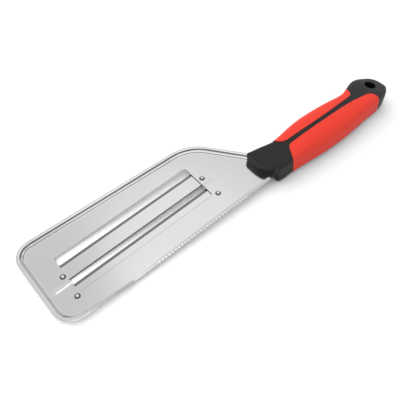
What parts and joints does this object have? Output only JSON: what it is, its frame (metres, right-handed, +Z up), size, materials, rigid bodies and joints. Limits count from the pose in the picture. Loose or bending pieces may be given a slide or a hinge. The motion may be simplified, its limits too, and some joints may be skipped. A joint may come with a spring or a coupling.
{
  "type": "hand-held cabbage slicer",
  "caption": "Hand slicer: pressed steel plate with an upturned rim, a long window over ground blades riveted underneath, a serrated edge, and a moulded grip handle with a hanging hole.",
  "frame": {"origin": "middle of the footprint, on the table that the slicer lies on", "axes": "+X along the length towards the handle, +Y across towards the upturned rim, +Z up from the table"},
  "size_m": [0.3334, 0.084, 0.0239],
  "materials": {
    "plate_steel": "polished sheet",
    "blade_steel": "ground and polished",
    "rivet_steel": "bright",
    "core_plastic": "fine satin moulding",
    "grip_rubber": "soft matt"
  },
  "bodies": {
    "root": {"slicer_plate": "plate_steel", "front_blade": "blade_steel", "rear_blade": "blade_steel", "rivet_front_tip": "rivet_steel", "rivet_front_handle": "rivet_steel", "rivet_rear_tip": "rivet_steel", "rivet_rear_handle": "rivet_steel", "handle_core": "core_plastic", "near_grip": "grip_rubber", "far_grip": "grip_rubber"}
  },
  "joints": []
}
